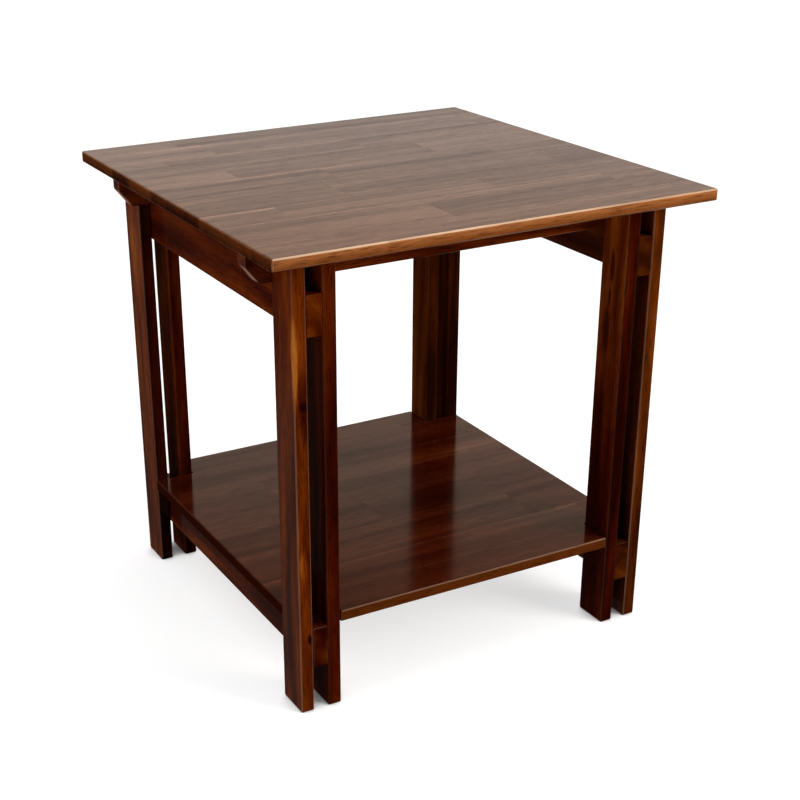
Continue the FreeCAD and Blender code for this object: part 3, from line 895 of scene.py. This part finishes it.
def turn_shank(tree, given):
    """A cylinder drawn out along the screw, with a thread and a tip."""
    calc = partial(add_math, tree)
    shank = add_node(tree, "GeometryNodeMeshCylinder", {
        "Vertices": 16, "Side Segments": 80, "Radius": 1.0, "Depth": 1.0}).outputs["Mesh"]
    x, y, z = add_split(tree, add_place(tree))
    root = calc("SUBTRACT", given["Head end"], ROOT_IN_HEAD)
    height = calc("MULTIPLY_ADD", calc("ADD", z, 0.5), calc("SUBTRACT", given["Length"], root), root)
    turns = calc("DIVIDE", calc("ARCTAN2", y, x), 2 * math.pi)
    groove = calc("PINGPONG", calc("SUBTRACT", calc("DIVIDE", height, given["Pitch"]), turns), 0.5)
    threaded = calc("GREATER_THAN", height, calc("MULTIPLY", given["Length"], given["Plain share"]))
    swell = calc("SUBTRACT", 1.0, add_product(tree, groove, threaded, THREAD_DEPTH))
    taper = calc("DIVIDE", calc("SUBTRACT", given["Length"], height), given["Tip"])
    taper = calc("MINIMUM", calc("MAXIMUM", taper, BLUNT_TIP), 1.0)
    radius = add_product(tree, swell, taper, given["Shank radius"])
    drawn = add_vector(tree, calc("MULTIPLY", x, radius), calc("MULTIPLY", y, radius), height)
    return add_node(tree, "GeometryNodeSetPosition", {"Geometry": shank, "Position": drawn}).outputs[0]


def cut_head(tree, given):
    """A cone or a disc, with a cross cut into it."""
    def at_head(mesh):
        offset = add_vector(tree, 0.0, 0.0, given["Head start"])
        return add_node(tree, "GeometryNodeTransform", {"Geometry": mesh, "Translation": offset}).outputs[0]

    head = add_node(tree, "GeometryNodeMeshCone", {
        "Vertices": 32, "Radius Top": given["Neck radius"], "Radius Bottom": given["Head radius"],
        "Depth": add_math(tree, "SUBTRACT", given["Head end"], given["Head start"])}).outputs["Mesh"]
    cut = add_node(tree, "GeometryNodeMeshBoolean", operation="DIFFERENCE", solver="EXACT")
    tree.links.new(at_head(head), cut.inputs["Mesh 1"])
    for wide, deep in (("Recess width", "Recess length"), ("Recess length", "Recess width")):
        tall = add_math(tree, "MULTIPLY", given["Recess depth"], 2.0)
        size = add_vector(tree, given[wide], given[deep], tall)
        bar = add_node(tree, "GeometryNodeMeshCube", {"Size": size}).outputs["Mesh"]
        tree.links.new(at_head(bar), cut.inputs["Mesh 2"])
    return cut.outputs["Mesh"]


print("shank and head ready")

# %% Rule for the screws
def screw_tree():
    tree, given = new_rule("wood_screw", SCREW_INPUTS)
    screw = add_node(tree, "GeometryNodeJoinGeometry")
    for part in (cut_head(tree, given), turn_shank(tree, given)):
        tree.links.new(part, screw.inputs[0])
    screws = add_node(tree, "GeometryNodeInstanceOnPoints", {
        "Points": given["Places"], "Instance": screw.outputs[0],
        "Rotation": kept_value(tree, "turn", "FLOAT_VECTOR")})
    end_rule(tree, given, screws.outputs[0])
    return tree


wood_screw = screw_tree()
print("screw rule:", len(wood_screw.nodes), "nodes")

# %% Places of the screws
SCREW_REACH = 0.06
SCREW_WIDTH = 0.012


def separate_boxes(node, axis):
    """Low and high corner of each screw in a CAD node. Screws lie far apart across their axis."""
    groups = []
    for vertex in nodes[node].data.vertices:
        corner = nodes[node].matrix_world @ vertex.co
        for group in groups:
            away = corner - group[0]
            along, away[axis] = abs(away[axis]), 0.0
            if away.length < SCREW_WIDTH and along < SCREW_REACH:
                group.append(corner)
                break
        else:
            groups.append([corner])
    return [tuple(Vector([extreme(corner[part] for corner in group) for part in range(3)])
                  for extreme in (min, max)) for group in groups]


print("screws under the top:", len(separate_boxes("top_screws", 2)))

# %% Screws from the rule
SCREW_SIZES = {"Shank radius": 0.002, "Tip": 0.004, "Pitch": 0.0018, "Plain share": 0.35,
               "Head radius": 0.004, "Recess width": 0.0011, "Recess length": 0.0046,
               "Recess depth": 0.0016}
COUNTERSUNK = {"Neck radius": 0.002, "Head start": 0.0, "Head end": 0.002}
FLAT_HEAD = {"Neck radius": 0.004, "Head start": -0.003, "Head end": 0.0}


def make_screws(node, axis, head):
    places, turns, lengths = [], [], []
    for low, high in separate_boxes(node, axis):
        place = (low + high) / 2
        inward = -1.0 if axis == 1 and place.y < 0 else 1.0
        place[axis] = (low if inward > 0 else high)[axis] - inward * head["Head start"]
        places.append(place)
        turns.append((0.0, 0.0, math.pi / 4) if axis == 2 else (-inward * math.pi / 2, 0.0, 0.0))
        lengths.append(high[axis] - low[axis] + head["Head start"])
    start = bpy.data.meshes.new(f"{node}_places")
    start.from_pydata(places, [], [])
    turn = start.attributes.new("turn", "FLOAT_VECTOR", "POINT")
    for value, angles in zip(turn.data, turns):
        value.vector = angles
    piece = bake_tree(f"{node}_turned", wood_screw, {
        **SCREW_SIZES, **head, "Length": max(lengths), "Finish": zinc}, start)
    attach(piece, "root")
    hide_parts(node)
    print(piece.name, "screws:", len(places), "length:", round(max(lengths), 4))


make_screws("bearer_screws", 1, COUNTERSUNK)
make_screws("top_screws", 2, FLAT_HEAD)
make_screws("shelf_screws", 2, FLAT_HEAD)

# %% [markdown]
# ## Studio
# The photograph was taken in front of white, in soft light with a stronger light from the front right.
# The faces that look to the front are the warmest, and the panels carry a pale sheen of what stands
# behind them. One bright room could light it all, but the lacquer would mirror the whole room. So the
# light comes in layers. Two softboxes light the wood and don't show in the lacquer, a strip light shows
# in the lacquer alone, and the world's glow gives the sheen. The floor is a plain pale sheet that glows
# a little. Close to the feet its glow fades with ambient occlusion, which paints a soft contact shadow
# there. The white wall all round is there for the camera only, so that the table stands before white
# from every side.

# %% Floor and wall
FLOOR_SIDE = 80.0
FLOOR_COLOUR = (0.45, 0.455, 0.465, 1.0)
SHADOW_REACH = 0.06
# From low and high ambient occlusion to low and high glow. Where the glow fades near the feet, it paints a
# contact shadow.
FLOOR_GLOW_AND_PAINTED_SHADOW = (0.25, 0.70, 0.0, 0.66)
WALL_RADIUS, WALL_HEIGHT, WALL_PANELS = 14.0, 12.0, 48
WHITE = (1.0, 1.0, 1.0, 1.0)
BLACK = (0.0, 0.0, 0.0, 1.0)


def make_stage(name, corners, faces, material):
    """A sheet that the camera sees, and that neither lights the table nor shows in its lacquer."""
    mesh = bpy.data.meshes.new(name)
    mesh.from_pydata(corners, [], faces)
    mesh.materials.append(material)
    sheet = put_in_scene(name, mesh)
    sheet.visible_glossy = False
    sheet.visible_diffuse = False
    return sheet


def make_floor():
    half = FLOOR_SIDE / 2
    corners = [(-half, -half, 0), (half, -half, 0), (half, half, 0), (-half, half, 0)]
    material, tree = new_finish("pale_floor")
    # Painted contact shadow: the glow fades where ambient occlusion is strong
    occlusion_for_painted_shadow = add_node(tree, "ShaderNodeAmbientOcclusion", {"Distance": SHADOW_REACH}).outputs["AO"]
    set_shader(tree, {
        "Base Color": FLOOR_COLOUR, "Roughness": 0.9, "Specular IOR Level": 0.1,
        "Emission Color": WHITE, "Emission Strength": add_range(tree, occlusion_for_painted_shadow, *FLOOR_GLOW_AND_PAINTED_SHADOW)})
    return make_stage("floor", corners, [(0, 1, 2, 3)], material)


def make_wall():
    turns = [2 * math.pi * number / WALL_PANELS for number in range(WALL_PANELS)]
    corners = [(WALL_RADIUS * math.cos(turn), WALL_RADIUS * math.sin(turn), height)
               for height in (0.0, WALL_HEIGHT) for turn in turns]
    nexts = [(number + 1) % WALL_PANELS for number in range(WALL_PANELS)]
    panels = [(number, after, after + WALL_PANELS, number + WALL_PANELS)
              for number, after in enumerate(nexts)]
    material, tree = new_finish("white_backdrop")
    set_shader(tree, {"Base Color": BLACK, "Specular IOR Level": 0.0, "Emission Color": WHITE,
                      "Emission Strength": 1.0})
    wall = make_stage("backdrop", corners, panels, material)
    wall.visible_shadow = False
    return wall


print("stage:", make_floor().name, make_wall().name)

# %% Glow of the world
BACKDROP_SIDE = (0.45, 0.89, 0.0)
CAMERA_SIDE = (0.46, -0.89, 0.0)
ACROSS_CAMERA = (0.886, 0.464, 0.0)
BACKDROP_GLOW = (
    (0.00, (0.05, 0.05, 0.05)),
    (0.04, (0.60, 0.57, 0.54)),
    (0.20, (0.70, 0.65, 0.61)),
    (0.235, (0.86, 0.73, 0.64)),
    (0.28, (0.80, 0.61, 0.50)),
    (0.40, (0.66, 0.53, 0.42)),
    (0.45, (0.52, 0.40, 0.30)),
    (0.49, (0.30, 0.18, 0.11)),
    (0.53, (0.06, 0.04, 0.03)),
)
CEILING_TINT = (1.0, 1.0, 1.0)
FLOOR_TINT = (1.0, 0.68, 0.48)
# Each range is from low, from high, to low, to high
BACKDROP_RANGE = (0.2, 0.7, 0.08, 1.0)
CEILING_RANGE = (0.58, 0.88, 0.0, 1.6)
FRONT_FLOOR_RANGE = (0.40, 0.75, 0.07, 0.0)
SIDE_FLOOR_RANGE = (0.45, 0.75, 0.0, 1.15)
BELOW_RANGE = (-0.10, -0.02, 1.0, 0.0)


def light_world():
    """A bright backdrop behind the table, a bright ceiling, and a dim room around the camera.

    The lower half is the pale floor that the lacquer sees, which is dark on the camera's side.
    """
    world = bpy.data.worlds.new("white_studio")
    world.use_nodes = True
    tree = world.node_tree
    direction = add_node(tree, "ShaderNodeTexCoord").outputs["Generated"]
    upward = add_dot(tree, direction, UP)
    behind = add_range(tree, add_dot(tree, direction, BACKDROP_SIDE), *BACKDROP_RANGE)
    ceiling = add_range(tree, upward, *CEILING_RANGE)
    in_front = add_range(tree, add_dot(tree, direction, CAMERA_SIDE), *FRONT_FLOOR_RANGE)
    beside = add_math(tree, "ABSOLUTE", add_dot(tree, direction, ACROSS_CAMERA))
    floor = add_math(tree, "ADD", in_front, add_range(tree, beside, *SIDE_FLOOR_RANGE))
    floor = add_math(tree, "MULTIPLY", floor, add_range(tree, upward, *BELOW_RANGE))
    backdrop = add_ramp(tree, upward, BACKDROP_GLOW)
    glow = (0.0, 0.0, 0.0)
    for tint, strength in ((backdrop, behind), (CEILING_TINT, ceiling), (FLOOR_TINT, floor)):
        glow = add_vector_math(tree, "MULTIPLY_ADD", tint, strength, glow)
    tree.links.new(glow, tree.nodes["Background"].inputs["Color"])
    bpy.context.scene.world = world
    return world


print("world:", light_world().name)

# %% Softboxes and strip light
def add_softbox(name, place, aim, side, power, warmth, in_lacquer=False):
    data = bpy.data.lights.new(name, "AREA")
    data.shape = "RECTANGLE"
    data.size, data.size_y = side
    data.energy = power
    data.color = warmth
    light = put_in_scene(name, data)
    light.location = place
    light.rotation_euler = (Vector(aim) - Vector(place)).to_track_quat("-Z", "Y").to_euler()
    light.visible_camera = False
    light.visible_diffuse = not in_lacquer
    light.visible_glossy = in_lacquer
    print(name, "watts:", power)


add_softbox("front_softbox", place=(2.0, -2.4, 1.4), aim=(0.0, -0.2, 0.5), side=(1.4, 2.0), power=122.0,
            warmth=(1.0, 0.94, 0.86))
add_softbox("left_softbox", place=(-2.2, 0.0, 1.2), aim=(0.0, 0.0, 0.35), side=(1.0, 1.0), power=18.0,
            warmth=(1.0, 0.95, 0.90))
add_softbox("strip_light", place=(1.6, -2.3, 2.1), aim=(0.0, -0.3, 0.6), side=(1.8, 0.25), power=12.0,
            warmth=(1.0, 0.92, 0.82), in_lacquer=True)
bpy.context.scene.view_settings.view_transform = "Standard"
